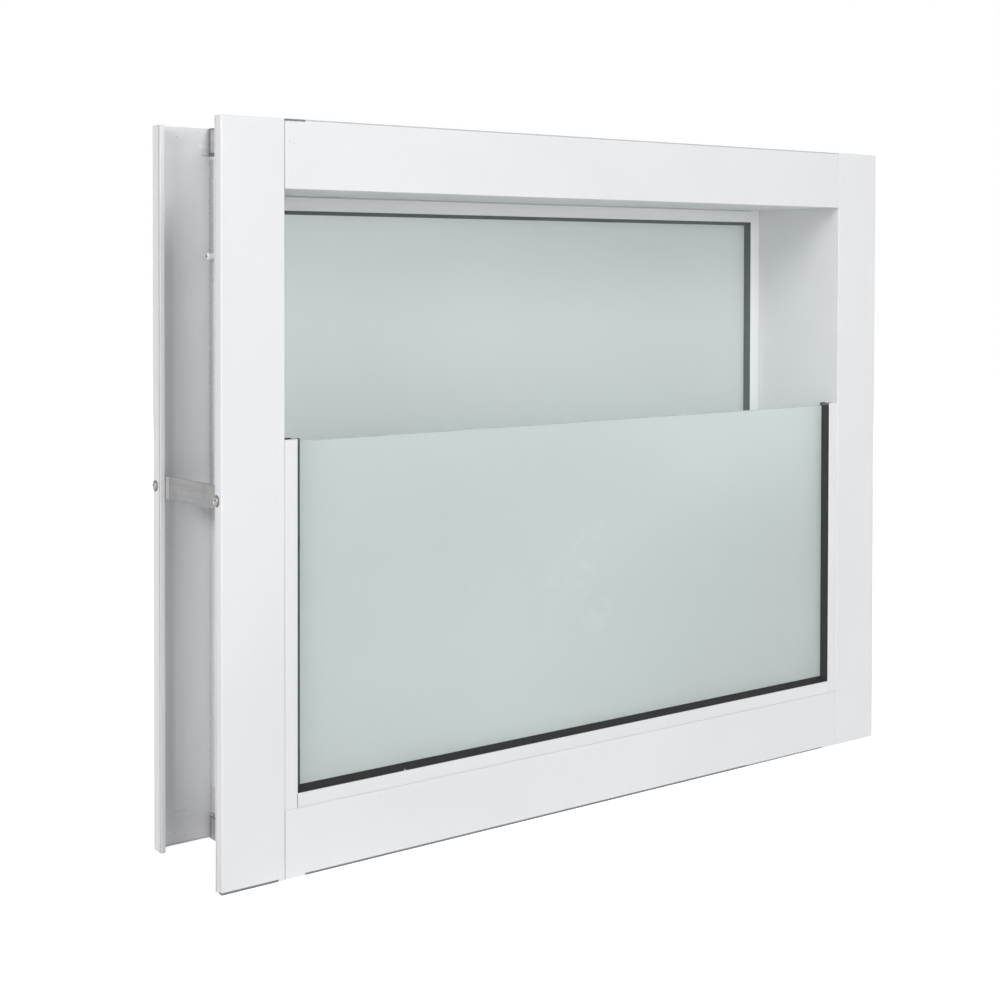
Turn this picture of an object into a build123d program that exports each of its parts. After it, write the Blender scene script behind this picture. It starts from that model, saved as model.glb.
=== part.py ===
"""Hatch window for a sandwich wall panel: a full-height rear pane and a lower front pane.

Millimetres. +Z is up, the room side faces -Y, and the origin is the centre of the
bottom of the whole window. Four square-cut members make a frame on each face of the
wall. Between their flanges the wall panel enters from all four sides.
"""

import os

from build123d import *

# Driving dimensions of the frame
frame_width = 740.0
frame_height = 600.0
panel_thickness = 100.0  # wall panel held between the front and rear lips
face_width = 55.0  # visible width of a stile or rail
flange_wall = 2.0
front_lip_depth = 11.2
rear_lip_depth = 14.8
lip_wall = 4.0
lip_nose = 1.6  # edge of a lip, beyond the groove along its outer side
groove_width = 1.2
groove_bite = 0.6
lining_wall = 2.0  # inner web, which lines the opening
lap_wall = 1.6  # outer web of the rear members, lapped over the lining
outer_round = 0.8
inner_round = 0.8
lip_round = 0.5
butt_gap = 0.3  # hairline between square-cut members
seat_gap = 0.15  # between faces that are drawn together

# Driving dimensions of the glazing
pane_thickness = 5.0
front_bead_width = 11.5
rear_bead_width = 12.4
bead_round = 0.5
channel_wall = 1.4
channel_depth = 14.0
channel_inset = 0.3  # bead face behind the frame's face
gasket_root = 5.0  # start of the gaskets, from the lining
front_wedge_depth = 6.0  # from a bead's visible face to the glass
rear_wedge_depth = 7.0
front_wedge_reach = 5.0  # rubber that shows beside the front beads
rear_wedge_reach = 3.2
wedge_lip = 0.4
wedge_fit = 0.1
edge_clearance = 3.0  # glass edge to channel base, also the setting blocks' height
front_bead_height = 293.0  # upright front beads, above the sill
pane_drop = 2.7  # top edge of the front pane, below the tops of its beads
block_length = 60.0
block_overhang = 0.4

# Driving dimensions of the cleats and spacer bars
cleat_height = 22.0
cleat_depth = 96.0
cleat_wall = 2.4
cleat_round = 0.6
cleat_flange_gap = 2.5
bar_height = 303.2  # middle of the bars, above the bottom of the window
bar_width = 18.6
bar_wall = 2.0
bar_step = 1.7  # joggle inwards between the two lips
bar_step_run = 2.6
bar_past_lip = 1.2
bar_end_gap = 0.8
bar_tilt = 1.3  # degrees that a bar was screwed on out of level, its rear end low

# Sizes that follow
frame_depth = front_lip_depth + panel_thickness + rear_lip_depth
front_y = -frame_depth / 2
rear_y = frame_depth / 2
opening_width = frame_width - 2 * face_width
lining_outer = face_width - lining_wall
lap_inner = lining_outer - seat_gap
lap_outer = lap_inner - lap_wall
pane_bite = channel_wall + edge_clearance
front_seat_y = front_y + channel_inset
rear_seat_y = rear_y - channel_inset - channel_depth

inward = {"left": (1, 0, 0), "right": (-1, 0, 0), "top": (0, 0, -1), "bottom": (0, 0, 1)}
upright = ("left", "right")

os.makedirs("parts", exist_ok=True)


def side_plane(side, outset, seat_y, to_rear=True, middle=None):
    """Plane across one side: X runs into the opening, Y into the depth, Z along it."""
    half_width = frame_width / 2 - outset
    heights = {"top": frame_height - outset, "bottom": outset}
    across = {"left": -half_width, "right": half_width}.get(side, 0)
    level = heights.get(side, frame_height / 2 if middle is None else middle)
    into = Vector(*inward[side])
    depth = Vector(0, 1 if to_rear else -1, 0)
    return Plane(origin=(across, seat_y, level), x_dir=into, z_dir=into.cross(depth))


def save(part, label):
    part.label = label
    export_step(part, f"parts/{label}.step")


def member_length(side):
    """Stiles run the full height, rails butt between them."""
    return frame_height if side in upright else opening_width - 2 * butt_gap


def lip_outline(lip_depth):
    """Outline of a return lip, from its root in the flange round to its outer side."""
    groove_near = lip_depth - lip_nose
    groove_far = groove_near - groove_width
    return [
        (lip_wall, flange_wall),
        (lip_wall, lip_depth),
        (0, lip_depth),
        (0, groove_near),
        (groove_bite, groove_near),
        (groove_bite, groove_far),
        (0, groove_far),
    ]


lip_radii = [inner_round, lip_round, lip_round, 0, 0, 0, 0]

# Front members: face flange with its return lip, and the web that lines the opening
lining_reach = frame_depth - flange_wall - seat_gap
for side in inward:
    with BuildPart() as front_member:
        with BuildSketch(side_plane(side, 0, front_y)):
            with BuildLine():
                FilletPolyline(
                    (0, 0),
                    (face_width, 0),
                    (face_width, lining_reach),
                    (lining_outer, lining_reach),
                    (lining_outer, flange_wall),
                    *lip_outline(front_lip_depth),
                    radius=[outer_round, inner_round, 0, 0, inner_round, *lip_radii],
                    close=True,
                )
            make_face()
        extrude(amount=member_length(side) / 2, both=True)
    kind = "stile" if side in upright else "rail"
    save(front_member.part, f"front_{side}_{kind}")

# Rear members: the same flange and lip, and a web lapped over the lining
lap_reach = frame_depth - flange_wall - inner_round - seat_gap
for side in inward:
    with BuildPart() as rear_member:
        with BuildSketch(side_plane(side, 0, rear_y, to_rear=False)):
            with BuildLine():
                FilletPolyline(
                    (0, 0),
                    (face_width, 0),
                    (face_width, flange_wall),
                    (lap_inner, flange_wall),
                    (lap_inner, lap_reach),
                    (lap_outer, lap_reach),
                    (lap_outer, flange_wall),
                    *lip_outline(rear_lip_depth),
                    radius=[outer_round, inner_round, 0, 0, 0, 0, inner_round, *lip_radii],
                    close=True,
                )
            make_face()
        extrude(amount=member_length(side) / 2, both=True)
    kind = "stile" if side in upright else "rail"
    save(rear_member.part, f"rear_{side}_{kind}")

# Corner cleats: plates on the outside of the stiles' webs, flush with their sawn ends
cleat_middle = {"top": frame_height - cleat_height / 2, "bottom": cleat_height / 2}
cleat_front = frame_depth - flange_wall - cleat_flange_gap - cleat_depth
cleat_outset = lap_outer - seat_gap - cleat_wall
for side in upright:
    for end, level in cleat_middle.items():
        with BuildPart() as cleat:
            with BuildSketch(side_plane(side, cleat_outset, front_y, middle=level)):
                with Locations((0, cleat_front)):
                    Rectangle(cleat_wall, cleat_depth, align=(Align.MIN, Align.MIN))
            extrude(amount=cleat_height / 2, both=True)
            fillet(cleat.edges().filter_by(Axis.Y), cleat_round)
        save(cleat.part, f"{end}_{side}_cleat")

# Spacer bars: flat bars screwed behind the lips, joggled inwards between them
bar_start = flange_wall + bar_end_gap
bar_face = lip_wall + seat_gap
front_foot = front_lip_depth + bar_past_lip
rear_foot = frame_depth - rear_lip_depth - bar_past_lip
for side in upright:
    ridge = [
        (bar_face, bar_start),
        (bar_face, front_foot),
        (bar_face + bar_step, front_foot + bar_step_run),
        (bar_face + bar_step, rear_foot - bar_step_run),
        (bar_face, rear_foot),
        (bar_face, frame_depth - bar_start),
    ]
    inner = [(into + bar_wall, deep) for into, deep in reversed(ridge)]
    with BuildPart() as bar:
        with BuildSketch(side_plane(side, 0, front_y, middle=bar_height)):
            with BuildLine():
                Polyline(*ridge, *inner, close=True)
            make_face()
        extrude(amount=bar_width / 2, both=True)
    out_of_level = Axis((0, 0, bar_height), (1, 0, 0))
    save(bar.part.rotate(out_of_level, -bar_tilt), f"{side}_spacer_bar")

# Glazing: each pane has channels of one U section, a wedge gasket and a flat gasket
glazings = {
    "front": {
        "seat": front_seat_y,
        "width": front_bead_width,
        "wedge_depth": front_wedge_depth,
        "reach": front_wedge_reach,
        "sides": ("left", "right", "bottom"),
        "bead_top": face_width + front_bead_height,
        "pane_top": face_width + front_bead_height - pane_drop,
    },
    "rear": {
        "seat": rear_seat_y,
        "width": rear_bead_width,
        "wedge_depth": rear_wedge_depth,
        "reach": rear_wedge_reach,
        "sides": ("left", "right", "bottom", "top"),
        "bead_top": frame_height - face_width,
        "pane_top": frame_height - face_width - pane_bite,
    },
}


def bead_run(side, spec):
    """Length and middle of a channel: uprights run through, the others butt between."""
    if side in upright:
        low = face_width + seat_gap
        high = spec["bead_top"] - (seat_gap if "top" in spec["sides"] else 0)
        return high - low, (high + low) / 2
    return opening_width - 2 * (seat_gap + spec["width"] + butt_gap / 2), None


def mitre_keep(side, spec):
    """Planes at 45 degrees through the opening's corners, where gaskets meet."""
    half = opening_width / 2
    floor = face_width
    head = frame_height - face_width
    low_left = Plane(origin=(-half, 0, floor), z_dir=(1, 0, -1))
    low_right = Plane(origin=(half, 0, floor), z_dir=(-1, 0, -1))
    high_left = Plane(origin=(-half, 0, head), z_dir=(1, 0, 1))
    high_right = Plane(origin=(half, 0, head), z_dir=(-1, 0, 1))
    closed = "top" in spec["sides"]
    cuts = {
        "left": [(low_left, Keep.BOTTOM)] + [(high_left, Keep.BOTTOM)] * closed,
        "right": [(low_right, Keep.BOTTOM)] + [(high_right, Keep.BOTTOM)] * closed,
        "bottom": [(low_left, Keep.TOP), (low_right, Keep.TOP)],
        "top": [(high_left, Keep.TOP), (high_right, Keep.TOP)],
    }
    return cuts[side]


for name, spec in glazings.items():
    seat = spec["seat"]
    bead_width = spec["width"]
    glass_near = spec["wedge_depth"]
    glass_far = glass_near + pane_thickness
    for side in spec["sides"]:
        run, middle = bead_run(side, spec)
        opening_side = side_plane(side, face_width + seat_gap, seat, middle=middle)

        with BuildPart() as channel:
            with BuildSketch(opening_side):
                with BuildLine():
                    FilletPolyline(
                        (0, 0),
                        (bead_width, 0),
                        (bead_width, channel_wall),
                        (channel_wall, channel_wall),
                        (channel_wall, channel_depth - channel_wall),
                        (bead_width, channel_depth - channel_wall),
                        (bead_width, channel_depth),
                        (0, channel_depth),
                        radius=[bead_round, bead_round, 0, 0, 0, 0, bead_round, bead_round],
                        close=True,
                    )
                make_face()
            extrude(amount=run / 2, both=True)
        save(channel.part, f"{name}_{side}_bead")

        gasket_run = run if side in upright else opening_width
        showing = bead_width + wedge_fit
        with BuildPart() as wedge:
            with BuildSketch(opening_side):
                with BuildLine():
                    Polyline(
                        (gasket_root, channel_wall),
                        (showing, channel_wall),
                        (showing, wedge_lip),
                        (bead_width + spec["reach"], glass_near),
                        (gasket_root, glass_near),
                        close=True,
                    )
                make_face()
            extrude(amount=gasket_run / 2, both=True)
            for cut, keep in mitre_keep(side, spec):
                split(bisect_by=cut, keep=keep)
        save(wedge.part, f"{name}_{side}_wedge_gasket")

        flat_wall = channel_depth - channel_wall - glass_far
        with BuildPart() as flat:
            with BuildSketch(opening_side):
                with Locations((gasket_root, glass_far)):
                    Rectangle(bead_width - gasket_root, flat_wall, align=(Align.MIN, Align.MIN))
            extrude(amount=gasket_run / 2, both=True)
            for cut, keep in mitre_keep(side, spec):
                split(bisect_by=cut, keep=keep)
        save(flat.part, f"{name}_{side}_flat_gasket")

    pane_bottom = face_width + seat_gap + pane_bite
    pane_width = opening_width - 2 * (pane_bite + seat_gap)
    with BuildPart() as pane:
        with BuildSketch(Plane.XY.offset(pane_bottom)):
            with Locations((0, seat + glass_near)):
                Rectangle(pane_width, pane_thickness, align=(Align.CENTER, Align.MIN))
        extrude(amount=spec["pane_top"] - pane_bottom)
    save(pane.part, f"{name}_pane")

    block_places = [
        (across, seat + glass_near + pane_thickness / 2)
        for across in (-pane_width / 4, pane_width / 4)
    ]
    with BuildPart() as blocks:
        with BuildSketch(Plane.XY.offset(pane_bottom - edge_clearance)):
            with Locations(*block_places):
                Rectangle(block_length, pane_thickness + 2 * block_overhang)
        extrude(amount=edge_clearance)
    save(blocks.part, f"{name}_setting_blocks")
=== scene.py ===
"""Looks of the hatch window: powder-coated frame, frosted panes, black gaskets and small hardware.

Metres. The camera stands where the photographer stood, in front of the window and to its left.
"""

import math
import random

import bmesh
import bpy
from mathutils import Matrix, Vector


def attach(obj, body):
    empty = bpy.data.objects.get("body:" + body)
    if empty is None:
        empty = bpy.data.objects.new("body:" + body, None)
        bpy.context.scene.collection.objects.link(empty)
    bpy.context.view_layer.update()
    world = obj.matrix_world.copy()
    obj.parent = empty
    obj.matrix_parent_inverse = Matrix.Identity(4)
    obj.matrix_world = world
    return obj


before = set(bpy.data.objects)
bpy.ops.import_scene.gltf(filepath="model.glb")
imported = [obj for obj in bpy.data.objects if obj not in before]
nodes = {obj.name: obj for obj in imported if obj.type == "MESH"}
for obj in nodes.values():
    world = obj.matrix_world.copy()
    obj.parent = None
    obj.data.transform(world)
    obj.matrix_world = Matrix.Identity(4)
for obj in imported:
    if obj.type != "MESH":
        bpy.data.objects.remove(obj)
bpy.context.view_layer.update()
random.seed(7)

# Sizes of the window and the places of its screws and rivet ends, as (depth place, level)
width, depth, height = 0.740, 0.126, 0.600
left, front = -width / 2, -depth / 2
screws = {"front": (front + 0.0080, 0.3034), "rear": (front + 0.1212, 0.3030)}
rivet = (front + 0.1175, 0.4926)
web_outer = width / 2 - 0.05125


def at(across, deep, up):
    """A place given in millimetres from the front left bottom corner."""
    return (left + across / 1000, front + deep / 1000, up / 1000)


# Shader helpers


def new_material(name):
    material = bpy.data.materials.new(name)
    material.use_nodes = True
    tree = material.node_tree
    tree.nodes.clear()
    output = tree.nodes.new("ShaderNodeOutputMaterial")
    shader = tree.nodes.new("ShaderNodeBsdfPrincipled")
    tree.links.new(shader.outputs["BSDF"], output.inputs["Surface"])
    return material, tree, shader


def object_coordinates(tree, scale=(1, 1, 1), offset=(0, 0, 0)):
    source = tree.nodes.new("ShaderNodeTexCoord")
    mapping = tree.nodes.new("ShaderNodeMapping")
    mapping.inputs["Scale"].default_value = scale
    mapping.inputs["Location"].default_value = offset
    tree.links.new(source.outputs["Object"], mapping.inputs["Vector"])
    return mapping.outputs["Vector"]


def noise(tree, vector, scale, detail=3.0, roughness=0.55, output="Fac"):
    node = tree.nodes.new("ShaderNodeTexNoise")
    node.inputs["Scale"].default_value = scale
    node.inputs["Detail"].default_value = detail
    node.inputs["Roughness"].default_value = roughness
    tree.links.new(vector, node.inputs["Vector"])
    return node.outputs[output]


def remap(tree, value, low, high, to_low=0.0, to_high=1.0):
    node = tree.nodes.new("ShaderNodeMapRange")
    node.interpolation_type = "SMOOTHSTEP"
    node.inputs["From Min"].default_value = low
    node.inputs["From Max"].default_value = high
    node.inputs["To Min"].default_value = to_low
    node.inputs["To Max"].default_value = to_high
    tree.links.new(value, node.inputs["Value"])
    return node.outputs["Result"]


def math_node(tree, operation, first, second):
    node = tree.nodes.new("ShaderNodeMath")
    node.operation = operation
    for socket, value in zip(node.inputs, (first, second)):
        if isinstance(value, (int, float)):
            socket.default_value = value
        else:
            tree.links.new(value, socket)
    return node.outputs["Value"]


def mix_colour(tree, factor, first, second):
    node = tree.nodes.new("ShaderNodeMix")
    node.data_type = "RGBA"
    for socket, value in zip((node.inputs[0], node.inputs[6], node.inputs[7]), (factor, first, second)):
        if isinstance(value, (int, float)):
            socket.default_value = value
        elif isinstance(value, tuple):
            socket.default_value = (*value, 1.0)
        else:
            tree.links.new(value, socket)
    return node.outputs[2]


def bump(tree, height_value, strength, distance):
    node = tree.nodes.new("ShaderNodeBump")
    node.inputs["Strength"].default_value = strength
    node.inputs["Distance"].default_value = distance
    tree.links.new(height_value, node.inputs["Height"])
    return node.outputs["Normal"]


def ragged(tree, place, scale, amount):
    """Object coordinates pushed about by noise, so that a mark gets an uneven edge."""
    push = tree.nodes.new("ShaderNodeVectorMath")
    push.operation = "MULTIPLY_ADD"
    tree.links.new(noise(tree, place, scale, detail=4.0, output="Color"), push.inputs[0])
    push.inputs[1].default_value = (amount, amount, amount)
    shift = tree.nodes.new("ShaderNodeVectorMath")
    shift.operation = "SUBTRACT"
    tree.links.new(place, shift.inputs[0])
    shift.inputs[1].default_value = (amount / 2, amount / 2, amount / 2)
    tree.links.new(shift.outputs["Vector"], push.inputs[2])
    return push.outputs["Vector"]


def spot(tree, place, centre, radius):
    """Mask of a dot round a place."""
    apart = tree.nodes.new("ShaderNodeVectorMath")
    apart.operation = "DISTANCE"
    tree.links.new(place, apart.inputs[0])
    apart.inputs[1].default_value = centre
    return remap(tree, apart.outputs["Value"], 0.6 * radius, 1.3 * radius, 1.0, 0.0)


def zone(tree, place, low, high, soft):
    """Mask of a box with soft sides; a side that is None stays open."""
    split = tree.nodes.new("ShaderNodeSeparateXYZ")
    tree.links.new(place, split.inputs["Vector"])
    mask = None
    for axis in range(3):
        for edge, before, after in ((low[axis], 0.0, 1.0), (high[axis], 1.0, 0.0)):
            if edge is None:
                continue
            side = remap(tree, split.outputs[axis], edge - soft, edge + soft, before, after)
            mask = side if mask is None else math_node(tree, "MULTIPLY", mask, side)
    return mask


# Marks of making and handling, and painted shade and light. Each is (kind, shape, radius, colour, strength,
# unevenness of its edge).

dull_grey = (0.20, 0.20, 0.21)
shadow_grey = (0.42, 0.42, 0.43)
seam_and_shade_grey = (0.36, 0.37, 0.37)
dark_speck_and_shade = (0.07, 0.07, 0.07)
pale_blob_and_light = (0.95, 0.95, 0.96)
old_paste = (0.46, 0.40, 0.38)
bottom_shade_grey = (0.15, 0.155, 0.16)
gasket_top_light_grey = (0.16, 0.165, 0.165)
flange_back = 124.0


def dot(across, deep, up, radius, colour, strength):
    """Round mark: millimetres from the front left bottom corner."""
    return ("spot", at(across, deep, up), radius / 1000, colour, strength, 0.0006)


def area(across, deep, up, soft, colour, strength, uneven):
    """Box-shaped mark: pairs of millimetres from the front left bottom corner, None is open."""
    corner = at(0, 0, 0)
    pairs = [(None, None) if pair is None else pair for pair in (across, deep, up)]
    low = tuple(None if p[0] is None else c + p[0] / 1000 for p, c in zip(pairs, corner))
    high = tuple(None if p[1] is None else c + p[1] / 1000 for p, c in zip(pairs, corner))
    return ("zone", (low, high, soft / 1000), None, colour, strength, uneven)


saw_burr = area((54.8, 73.4), (None, 3.0), (598.1, None), 0.3, (0.13, 0.13, 0.13), 0.85, 0.0012)
# Painted shade along the rounded top edge of the top rail.
rail_top_edge_shade = area(None, (None, 3.0), (598.9, None), 0.25, (0.42, 0.43, 0.45), 0.7, 0.0004)
# Painted shade along the bottom edges of the front members, standing in for the shade on their lower rounded
# edges.
bottom_shade_left = area((None, 49.0), (None, 4.0), (None, 1.9), 0.3, bottom_shade_grey, 0.95, 0.0004)
bottom_shade_mid = area((73.0, 560.0), (None, 4.0), (None, 1.9), 0.3, bottom_shade_grey, 0.95, 0.0004)
bottom_shade_right = area((560.0, 665.0), (None, 4.0), (None, 1.7), 0.3, bottom_shade_grey, 0.70, 0.0004)
# Painted shade in the fold beside the rear lip on the left rear flange's inner face, in steps that fade out
# towards the bottom.
painted_fold_shades = [
    area((3.5, 17.5), (119.5, None), reach, 3.5, seam_and_shade_grey, 0.08, 0.0004)
    for reach in ((6, 492), (14, 500), (22, 508), (30, 516), (38, 524), (46, 534))
]
marks = {
    "front_top_rail": [
        rail_top_edge_shade,
        saw_burr,
        dot(59.9, 0.0, 582.1, 0.6, dull_grey, 0.35),
        dot(63.2, 0.0, 581.1, 0.5, dull_grey, 0.30),
    ],
    "front_left_stile": [bottom_shade_left],
    "front_bottom_rail": [bottom_shade_mid, bottom_shade_right],
    "front_left_bead": [area((66.0, None), (None, 1.5), (None, 66.4), 0.15, dark_speck_and_shade, 0.75, 0.0001)],
    "rear_top_bead": [area(None, None, (543.9, None), 0.2, seam_and_shade_grey, 0.45, 0.0001)],
    "rear_right_stile": [area((739.0, None), (111.8, 114.2), None, 0.4, seam_and_shade_grey, 0.35, 0.0004)],
    "rear_left_stile": [
        # The web where it meets the rear flange: a dark corner line that is partly dirt and partly painted
        # shade, then painted shade over the web's rear strip, darker above the spacer bar.
        area((50.6, 54.0), (120.2, None), None, 0.7, shadow_grey, 0.40, 0.0022),
        area((50.6, 54.0), (114.5, None), None, 1.5, shadow_grey, 0.28, 0.0010),
        area((50.6, 54.0), (118.2, None), (296.0, 574.0), 0.9, dull_grey, 0.36, 0.0018),
        # Painted light: the lower end of the flange's inner face is made paler.
        area((3.5, 50.5), (119.5, None), (None, 13.0), 9.0, pale_blob_and_light, 0.8, 0.0040),
        *painted_fold_shades,
        area((50.4, 54.0), (112.0, 124.0), (470.0, 574.0), 0.8, dull_grey, 0.13, 0.0080),
        area((None, 1.0), (111.8, 114.2), None, 0.4, seam_and_shade_grey, 0.35, 0.0004),
        # Painted shade along the lip's bottom edge.
        area((None, 5.0), None, (None, 0.9), 0.4, dull_grey, 0.35, 0.0010),
        # Painted shadow of the top cleat on the web and on the flange under and beside it.
        area((50.2, 54.0), None, (576.3, 578.0), 0.3, dark_speck_and_shade, 0.75, 0.0008),
        area((43.0, 51.3), (122.0, None), (576.6, 577.9), 0.5, dull_grey, 0.45, 0.0012),
        area((43.5, 51.3), (122.0, None), (578.5, 583.0), 1.5, dull_grey, 0.12, 0.0040),
        area((8.0, 46.0), (122.0, None), (584.0, 597.0), 3.0, dull_grey, 0.07, 0.0160),
        dot(41.9, flange_back, 585.2, 1.7, pale_blob_and_light, 0.9),
        dot(21.1, flange_back, 591.7, 0.7, dark_speck_and_shade, 0.30),
        dot(27.4, flange_back, 556.0, 1.3, pale_blob_and_light, 0.35),
        dot(22.7, flange_back, 17.5, 0.6, dark_speck_and_shade, 0.25),
        dot(31.8, flange_back, 20.7, 0.6, dark_speck_and_shade, 0.22),
        dot(18.6, flange_back, 10.2, 0.6, dark_speck_and_shade, 0.25),
        dot(24.5, flange_back, 15.4, 0.5, dark_speck_and_shade, 0.20),
        area((17.5, 28.5), (120.0, None), (26.8, 28.0), 0.4, dull_grey, 0.15, 0.0020),
        # Painted shade along the flange's bottom edge.
        area((4.0, 50.0), (120.0, None), (None, 1.4), 0.4, dull_grey, 0.30, 0.0008),
        area((50.4, 54.0), (112.0, None), (23.0, 44.0), 0.6, old_paste, 0.35, 0.0030),
        area((50.2, 54.0), (112.0, None), (270.0, 288.0), 1.0, old_paste, 0.30, 0.0050),
        area((43.0, 51.3), (122.0, None), (272.0, 284.0), 1.5, (0.60, 0.57, 0.52), 0.18, 0.0050),
    ],
    "top_left_cleat": [
        # Painted shade in the gap between the cleat's rear end and the flange.
        area(None, (117.9, None), None, 0.6, (0.14, 0.13, 0.145), 0.72, 0.0006),
        area(None, None, (598.2, None), 0.4, (0.10, 0.10, 0.10), 0.65, 0.0008),
        # Painted shade on the cleat's bottom end.
        area(None, None, (None, 579.4), 0.4, dark_speck_and_shade, 0.60, 0.0010),
    ],
    "bottom_left_cleat": [
        # Painted shade in the gap between the cleat's rear end and the flange.
        area(None, (117.6, 121.0), (None, 19.5), 0.5, (0.14, 0.13, 0.145), 0.62, 0.0006),
        area(None, (None, 115.6), None, 0.8, (0.20, 0.20, 0.18), 0.35, 0.0010),
        area(None, None, (18.6, 20.2), 0.5, dark_speck_and_shade, 0.55, 0.0012),
    ],
    # Painted shade in the hollow end of each rivet.
    "web_rivets": [dot(across, 117.5, 492.6, 1.7, dark_speck_and_shade, 0.9) for across in (45.4, 694.6)],
    "front_bottom_wedge_gasket": [dot(167.6, 1.0, 67.0, 1.1, (0.50, 0.51, 0.51), 0.8)],
    "front_right_wedge_gasket": [
        dot(672.5, 3.6, 70.4, 0.9, (0.45, 0.46, 0.46), 0.6),
        # Painted light on the top end of the right gasket.
        area(None, None, (346.2, None), 0.5, gasket_top_light_grey, 0.75, 0.0010),
    ],
}


def add_marks(tree, body, name):
    """Body colour with the marks of a node mixed over it, in their order."""
    place = object_coordinates(tree)
    ragged_places = {}
    for kind, shape, radius, colour, strength, uneven in marks.get(name, ()):
        if uneven not in ragged_places:
            ragged_places[uneven] = ragged(tree, place, 600.0, uneven)
        pushed = ragged_places[uneven]
        mask = spot(tree, pushed, shape, radius) if kind == "spot" else zone(tree, pushed, *shape)
        body = mix_colour(tree, math_node(tree, "MULTIPLY", mask, strength), body, colour)
    return body


# Materials


def powder_coat(name, node_name, colour, seed):
    """Satin white powder coat: fine orange peel, faint cloudy tint and a little handling dust."""
    material, tree, shader = new_material(name)
    place = object_coordinates(tree, offset=(seed * 0.37, seed * 0.11, seed * 0.23))
    cloud = noise(tree, place, 5.0, detail=2.0)
    shade = tuple(0.975 * channel for channel in colour)
    body = mix_colour(tree, remap(tree, cloud, 0.35, 0.65), colour, shade)
    grime = remap(tree, noise(tree, place, 60.0, detail=6.0, roughness=0.7), 0.66, 0.80, 0.0, 0.12)
    body = mix_colour(tree, grime, body, (0.55, 0.54, 0.51))
    pips = remap(tree, noise(tree, place, 520.0, detail=1.0), 0.79, 0.83, 0.0, 0.35)
    body = mix_colour(tree, pips, body, (0.40, 0.40, 0.39))
    tree.links.new(add_marks(tree, body, node_name), shader.inputs["Base Color"])
    smear = noise(tree, place, 22.0, detail=4.0)
    tree.links.new(remap(tree, smear, 0.3, 0.7, 0.36, 0.48), shader.inputs["Roughness"])
    shader.inputs["Specular IOR Level"].default_value = 0.45
    peel = noise(tree, place, 900.0, detail=2.0)
    tree.links.new(bump(tree, peel, 0.10, 0.00012), shader.inputs["Normal"])
    return material


def painted_pane_shade(tree):
    """Mask of painted shade on the front pane, at its upper left and its lower right."""
    split = tree.nodes.new("ShaderNodeSeparateXYZ")
    tree.links.new(object_coordinates(tree), split.inputs["Vector"])
    across, _, up = split.outputs
    to_left = remap(tree, across, left + 0.25, left + 0.60, 1.0, 0.0)
    to_right = remap(tree, across, left + 0.25, left + 0.60)
    upper = math_node(tree, "MULTIPLY", to_left, remap(tree, up, 0.12, 0.34))
    lower = math_node(tree, "MULTIPLY", to_right, remap(tree, up, 0.22, 0.32, 1.0, 0.0))
    return math_node(tree, "MAXIMUM", upper, lower)


def frosted_glass(name, colour, through, seed):
    """Glass with an evenly etched green-grey face: light comes through it, shapes don't."""
    material, tree, shader = new_material(name)
    place = object_coordinates(tree, offset=(seed * 0.4, 0.0, seed * 0.2))
    cloud = remap(tree, noise(tree, place, 2.2, detail=2.0), 0.35, 0.65)
    deeper = tuple(0.975 * channel for channel in colour)
    body = mix_colour(tree, cloud, colour, deeper)
    smudge = remap(tree, noise(tree, place, 34.0, detail=5.0, roughness=0.7), 0.50, 0.62)
    wiped = zone(tree, ragged(tree, object_coordinates(tree), 30.0, 0.05),
                 (left + 0.322, None, 0.150), (left + 0.410, None, 0.255), 0.016)
    smudge = math_node(tree, "MULTIPLY", math_node(tree, "MULTIPLY", smudge, wiped), 0.65)
    body = mix_colour(tree, smudge, body, tuple(min(1.0, 1.06 * channel) for channel in colour))
    if name == "glass_front_pane":
        # Painted shade: the front pane is made darker at its upper left and its lower right.
        body = mix_colour(tree, painted_pane_shade(tree), body, tuple(0.93 * channel for channel in colour))
    tree.links.new(body, shader.inputs["Base Color"])
    tree.links.new(remap(tree, noise(tree, place, 14.0), 0.3, 0.7, 0.52, 0.60), shader.inputs["Roughness"])
    shader.inputs["Specular IOR Level"].default_value = 0.5
    shader.inputs["Transmission Weight"].default_value = through
    etch = noise(tree, place, 2400.0, detail=2.0)
    tree.links.new(bump(tree, etch, 0.05, 0.00005), shader.inputs["Normal"])
    return material


def rubber(name, node_name, colour, seed):
    """Black glazing rubber with a fine grain and a little chalky bloom."""
    material, tree, shader = new_material(name)
    place = object_coordinates(tree, offset=(seed * 0.3, seed * 0.7, 0.0))
    bloom = remap(tree, noise(tree, place, 70.0, detail=5.0, roughness=0.65), 0.45, 0.75)
    lighter = tuple(channel + 0.009 for channel in colour)
    body = mix_colour(tree, bloom, colour, lighter)
    tree.links.new(add_marks(tree, body, node_name), shader.inputs["Base Color"])
    tree.links.new(remap(tree, bloom, 0.0, 1.0, 0.50, 0.66), shader.inputs["Roughness"])
    shader.inputs["Specular IOR Level"].default_value = 0.3
    grain = noise(tree, place, 700.0, detail=3.0)
    tree.links.new(bump(tree, grain, 0.2, 0.0001), shader.inputs["Normal"])
    return material


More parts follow.
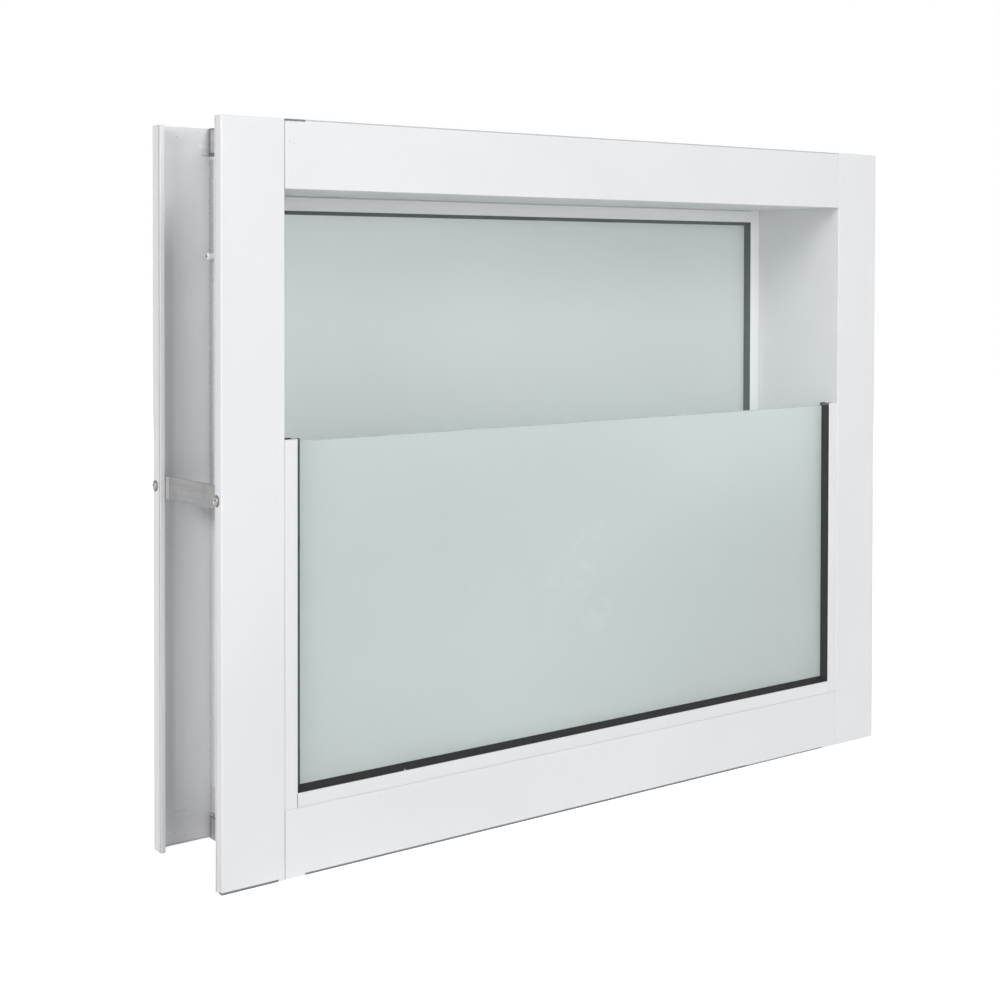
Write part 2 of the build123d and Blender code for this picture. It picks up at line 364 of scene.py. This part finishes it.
def drawn_metal(name, node_name, colour, roughness, stretch, seed, shine):
    """Mill-finish metal with drawing lines along one axis and dull stains."""
    material, tree, shader = new_material(name)
    lines = noise(tree, object_coordinates(tree, scale=stretch), 260.0, detail=5.0, roughness=0.7)
    place = object_coordinates(tree, offset=(seed * 0.3, seed * 0.5, seed * 0.1))
    stains = remap(tree, noise(tree, place, 55.0, detail=5.0), 0.52, 0.74, 0.0, 0.55)
    streaked = mix_colour(tree, remap(tree, lines, 0.3, 0.7), colour, tuple(0.86 * c for c in colour))
    body = mix_colour(tree, stains, streaked, tuple(0.72 * c for c in colour))
    tree.links.new(add_marks(tree, body, node_name), shader.inputs["Base Color"])
    shader.inputs["Metallic"].default_value = shine
    rough = remap(tree, lines, 0.2, 0.8, roughness - 0.06, roughness + 0.10)
    tree.links.new(rough, shader.inputs["Roughness"])
    tree.links.new(bump(tree, lines, 0.25, 0.00006), shader.inputs["Normal"])
    return material


def plastic(name, colour):
    """Plain moulded plastic, a little mottled."""
    material, tree, shader = new_material(name)
    place = object_coordinates(tree)
    mottled = remap(tree, noise(tree, place, 90.0), 0.35, 0.65)
    body = mix_colour(tree, mottled, colour, tuple(0.8 * c for c in colour))
    tree.links.new(body, shader.inputs["Base Color"])
    shader.inputs["Roughness"].default_value = 0.5
    tree.links.new(bump(tree, noise(tree, place, 1200.0), 0.15, 0.0001), shader.inputs["Normal"])
    return material


white = (0.862, 0.870, 0.886)
pane_through = {"front_pane": 0.58, "rear_pane": 0.36}
# The rear pane's tint is darker than the front pane's; the difference is partly painted shade of the recess
# it sits in.
pane_tints_and_shade = {"front_pane": (0.865, 0.930, 0.916), "rear_pane": (0.703, 0.757, 0.750)}
black = (0.0115, 0.0120, 0.0118)
# The rear gaskets are a lighter grey-green than the front ones.
rear_gasket_grey = (0.125, 0.144, 0.140)
bar_grey = (0.352, 0.354, 0.348)
cleat_grey = (0.56, 0.555, 0.56)
block_black = (0.05, 0.05, 0.05)
for order, name in enumerate(sorted(nodes)):
    if name.endswith("pane"):
        finish = frosted_glass(f"glass_{name}", pane_tints_and_shade[name], pane_through[name], order)
    elif name.endswith("gasket"):
        finish = rubber(f"rubber_{name}", name, rear_gasket_grey if name.startswith("rear") else black, order)
    elif name.endswith("spacer_bar"):
        finish = drawn_metal(f"metal_{name}", name, bar_grey, 0.52, (1, 0.05, 1), order, 0.45)
    elif name.endswith("cleat"):
        finish = drawn_metal(f"metal_{name}", name, cleat_grey, 0.52, (1, 0.05, 1), order, 0.60)
    elif name.endswith("blocks"):
        finish = plastic(f"plastic_{name}", block_black)
    else:
        finish = powder_coat(f"coat_{name}", name, white, order)
    node = nodes[name]
    node.data.materials.clear()
    node.data.materials.append(finish)


# Small hardware


def add_mesh(name, mesh, material):
    """Smooth piece from a bmesh, riding on the window's one body."""
    piece = bpy.data.objects.new(name, bpy.data.meshes.new(name))
    mesh.to_mesh(piece.data)
    mesh.free()
    piece.data.materials.append(material)
    for polygon in piece.data.polygons:
        polygon.use_smooth = True
    bpy.context.scene.collection.objects.link(piece)
    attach(piece, "root")
    return piece


def lathe_rings(mesh, rings, segments, heights=None):
    """Rings of (radius, height) round Z joined by quads. Returns the first and the last ring, still open."""
    previous = None
    first = None
    for radius, level in rings:
        ring = []
        for step in range(segments):
            angle = 2 * math.pi * step / segments
            x, y = radius * math.cos(angle), radius * math.sin(angle)
            lift = heights(x, y) if heights else 0.0
            ring.append(mesh.verts.new((x, y, level + lift)))
        if previous:
            for step in range(segments):
                after = (step + 1) % segments
                mesh.faces.new((previous[step], previous[after], ring[after], ring[step]))
        else:
            first = ring
        previous = ring
    return first, previous


def cross_recess(x, y):
    """Depth of a cross drive at a place on the head, sloping up to nothing at its tips."""
    arm, half, deepest = 0.0024, 0.00052, 0.0015
    best = 0.0
    for along, across in ((abs(x), abs(y)), (abs(y), abs(x))):
        if along < arm and across < half * 1.5:
            slope = 1.0 - (along / arm) ** 2
            wall = min(1.0, max(0.0, (half * 1.5 - across) / (half * 0.5)))
            best = max(best, deepest * slope * wall)
    return -best


def pan_screw(name, place, outward, turn, material):
    """Pan head with a cross recess; its skirt goes a little way into the lip."""
    mesh = bmesh.new()
    radius, dome, skirt = 0.0047, 0.0022, 0.0012
    steps, segments = 34, 72
    rings = []
    for step in range(steps + 1):
        ratio = max(step, 0.2) / steps
        rings.append((radius * ratio, dome * (1.0 - ratio ** 3.2) ** 0.75 if ratio < 1 else 0.0))
    first, last = lathe_rings(mesh, rings, segments, cross_recess)
    mesh.faces.new(list(reversed(first)))
    bottom = [mesh.verts.new((v.co.x, v.co.y, -skirt)) for v in last]
    for step in range(segments):
        after = (step + 1) % segments
        mesh.faces.new((last[step], last[after], bottom[after], bottom[step]))
    mesh.faces.new(bottom)
    bmesh.ops.recalc_face_normals(mesh, faces=mesh.faces)
    aim = Vector(outward).to_track_quat("Z", "Y").to_matrix().to_4x4()
    mesh.transform(Matrix.Translation(place) @ aim @ Matrix.Rotation(turn, 4, "Z"))
    piece = add_mesh(name, mesh, material)


def screw_finish():
    """Zinc-plated steel with painted shade round the rim and in the cross of each head."""
    material, tree, shader = new_material("screw_metal")
    level_places = object_coordinates(tree, scale=(0, 1, 1))
    grain = noise(tree, object_coordinates(tree), 900.0, detail=4.0)
    body = mix_colour(tree, remap(tree, grain, 0.3, 0.7), (0.46, 0.46, 0.47), (0.36, 0.36, 0.37))
    heads = None
    for deep, level in screws.values():
        head = spot(tree, level_places, (0, deep, level), 0.0038)
        heads = head if heads is None else math_node(tree, "MAXIMUM", heads, head)
        # Painted shade in the cross recess of the head.
        recess = spot(tree, level_places, (0, deep, level), 0.0013)
        body = mix_colour(tree, math_node(tree, "MULTIPLY", recess, 0.8), body, (0.07, 0.07, 0.07))
    # Painted shade round the rim of each head, outside the heads mask.
    body = mix_colour(tree, heads, (0.12, 0.12, 0.125), body)
    tree.links.new(body, shader.inputs["Base Color"])
    shader.inputs["Metallic"].default_value = 0.75
    tree.links.new(remap(tree, grain, 0.3, 0.7, 0.34, 0.46), shader.inputs["Roughness"])
    tree.links.new(bump(tree, grain, 0.2, 0.00005), shader.inputs["Normal"])
    return material


screw_metal = screw_finish()
for side, sign in (("left", -1), ("right", 1)):
    for face, (deep, level) in screws.items():
        turn = random.uniform(0.2, 1.3)
        place = Vector((sign * width / 2, deep, level))
        pan_screw(f"{side}_{face}_screw", place, (sign, 0, 0), turn, screw_metal)


def rivet_end(name, place, outward, material):
    """Blind end of a pull rivet: a bulged sleeve with its hollow end."""
    mesh = bmesh.new()
    rings = [
        (0.0010, 0.0046),
        (0.0012, 0.0064),
        (0.0019, 0.0068),
        (0.0026, 0.0065),
        (0.0030, 0.0056),
        (0.0030, 0.0042),
        (0.0027, 0.0032),
        (0.0025, 0.0020),
        (0.0026, 0.0008),
        (0.0030, 0.0),
        (0.0032, -0.0006),
    ]
    first, last = lathe_rings(mesh, rings, 40)
    mesh.faces.new(list(reversed(first)))
    mesh.faces.new(last)
    bmesh.ops.recalc_face_normals(mesh, faces=mesh.faces)
    aim = Vector(outward).to_track_quat("Z", "Y").to_matrix().to_4x4()
    mesh.transform(Matrix.Translation(place) @ aim)
    piece = add_mesh(name, mesh, material)


rivet_colour = (0.95, 0.95, 0.95)
rivet_metal = drawn_metal("rivet_metal", "web_rivets", rivet_colour, 0.42, (1, 1, 1), seed=5, shine=0.12)
for side, sign in (("left", -1), ("right", 1)):
    place = Vector((sign * web_outer, *rivet))
    rivet_end(f"{side}_web_rivet", place, (sign, 0, 0), rivet_metal)


# Studio


def seen_directly(tree):
    """1 for what the camera, a reflection or a pane shows, 0 for light that falls on the object."""
    rays = tree.nodes.new("ShaderNodeLightPath")
    seen = math_node(tree, "MAXIMUM", rays.outputs["Is Camera Ray"], rays.outputs["Is Glossy Ray"])
    return math_node(tree, "MAXIMUM", seen, rays.outputs["Is Transmission Ray"])


floor_mesh = bmesh.new()
bmesh.ops.create_grid(floor_mesh, x_segments=1, y_segments=1, size=6.0)
floor = bpy.data.objects.new("floor", bpy.data.meshes.new("floor"))
floor_mesh.to_mesh(floor.data)
floor_mesh.free()
bpy.context.scene.collection.objects.link(floor)
floor_paint = bpy.data.materials.new("floor_paint")
floor_paint.use_nodes = True
tree = floor_paint.node_tree
tree.nodes.clear()
output = tree.nodes.new("ShaderNodeOutputMaterial")
matt = tree.nodes.new("ShaderNodeBsdfDiffuse")
matt.inputs["Color"].default_value = (0.90, 0.90, 0.90, 1)
glow = tree.nodes.new("ShaderNodeEmission")
glow.inputs["Color"].default_value = (1, 1, 1, 1)
from_window = tree.nodes.new("ShaderNodeVectorMath")
from_window.operation = "LENGTH"
tree.links.new(object_coordinates(tree), from_window.inputs[0])
glow_level = remap(tree, from_window.outputs["Value"], 0.6, 2.4, 0.68, 1.0)
tree.links.new(math_node(tree, "MULTIPLY", seen_directly(tree), glow_level), glow.inputs["Strength"])
both = tree.nodes.new("ShaderNodeAddShader")
tree.links.new(matt.outputs["BSDF"], both.inputs[0])
tree.links.new(glow.outputs["Emission"], both.inputs[1])
tree.links.new(both.outputs["Shader"], output.inputs["Surface"])
floor.data.materials.append(floor_paint)

world = bpy.data.worlds.new("studio")
bpy.context.scene.world = world
world.use_nodes = True
tree = world.node_tree
tree.nodes.clear()
output = tree.nodes.new("ShaderNodeOutputWorld")
sky = tree.nodes.new("ShaderNodeBackground")
tree.links.new(seen_directly(tree), sky.inputs["Strength"])
sky.inputs["Color"].default_value = (1, 1, 1, 1)
tree.links.new(sky.outputs["Background"], output.inputs["Surface"])


def softbox(name, place, target, size, watts):
    """Rectangular lamp at a place, turned to the target."""
    lamp = bpy.data.lights.new(name, "AREA")
    lamp.shape = "RECTANGLE"
    lamp.size, lamp.size_y = size
    lamp.energy = watts
    lamp_object = bpy.data.objects.new(name, lamp)
    lamp_object.location = place
    aim = Vector(target) - Vector(place)
    lamp_object.rotation_euler = aim.to_track_quat("-Z", "Y").to_euler()
    bpy.context.scene.collection.objects.link(lamp_object)


# Boxes round the window: azimuth from straight in front in degrees (left is negative), elevation, watts
middle = (0.0, 0.0, height / 2)
room_distance, room_size = 3.4, (1.1, 1.1)
room_boxes = [
    (-8, 6, 26.0),
    (3, 22, 14.0),
    (3, 38, 23.4),
    (-66, 22, 26.6),
    (-80, 6, 7.0),
    (-80, 22, 17.7),
    (62, 24, 3.2),
    (102, 22, 20.0),
]
for azimuth, elevation, watts in room_boxes:
    turn, lift = math.radians(azimuth), math.radians(elevation)
    away = Vector((math.cos(lift) * math.sin(turn), -math.cos(lift) * math.cos(turn), math.sin(lift)))
    softbox(f"box_{azimuth}_{elevation}", Vector(middle) + room_distance * away, middle, room_size, watts)
softbox("low_left_box", (-3.19, -1.16, 0.33), middle, (1.4, 0.6), 1.4)
softbox("back_box", (1.0, 3.0, 1.8), middle, (2.2, 2.0), 70.0)


# Camera at the photographer's place
yaw, pitch, roll = math.radians(35.923), math.radians(1.1255), math.radians(0.116)
forward = Vector((math.sin(yaw) * math.cos(pitch), math.cos(yaw) * math.cos(pitch), -math.sin(pitch)))
level_right = Vector((math.cos(yaw), -math.sin(yaw), 0.0))
level_up = level_right.cross(forward)
right_axis = level_right * math.cos(roll) + level_up * math.sin(roll)
up_axis = level_up * math.cos(roll) - level_right * math.sin(roll)
camera_data = bpy.data.cameras.new("camera")
camera_data.sensor_width = 36.0
camera_data.lens = 58.69
camera_data.shift_y = -0.1988
camera_data.clip_start = 0.05
camera = bpy.data.objects.new("camera", camera_data)
turned = Matrix((right_axis, up_axis, -forward)).transposed().to_4x4()
camera_place = (left - 0.5577, front - 1.1330, 0.4824)
camera.matrix_world = Matrix.Translation(camera_place) @ turned
bpy.context.scene.collection.objects.link(camera)
bpy.context.scene.camera = camera
bpy.context.scene.view_settings.view_transform = "Standard"
